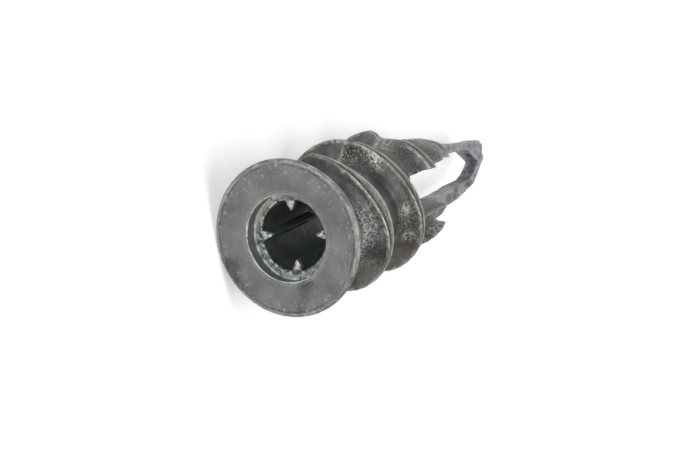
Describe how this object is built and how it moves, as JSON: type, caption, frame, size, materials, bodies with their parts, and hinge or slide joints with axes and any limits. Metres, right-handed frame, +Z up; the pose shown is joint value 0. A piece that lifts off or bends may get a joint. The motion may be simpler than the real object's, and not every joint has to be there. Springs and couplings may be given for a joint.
{
  "type": "drywall anchor",
  "caption": "Self-drilling drywall anchor: round flange, finned screw bore, deep helical thread, and legs that end in a drill point.",
  "frame": {"origin": "under the middle of the casting's box, on the surface that it lies on", "axes": "+Y runs along the casting from the flange to the drill point, which dips a few degrees; +Z is up; the casting lies on the rim of its flange and the narrow side of its thread"},
  "size_m": [0.0128, 0.0366, 0.0127],
  "materials": {
    "zinc_casting": "die-cast zinc alloy, dull grey skin with a fine grain, brighter where it is rubbed"
  },
  "bodies": {
    "root": {"anchor": "zinc_casting"}
  },
  "joints": []
}
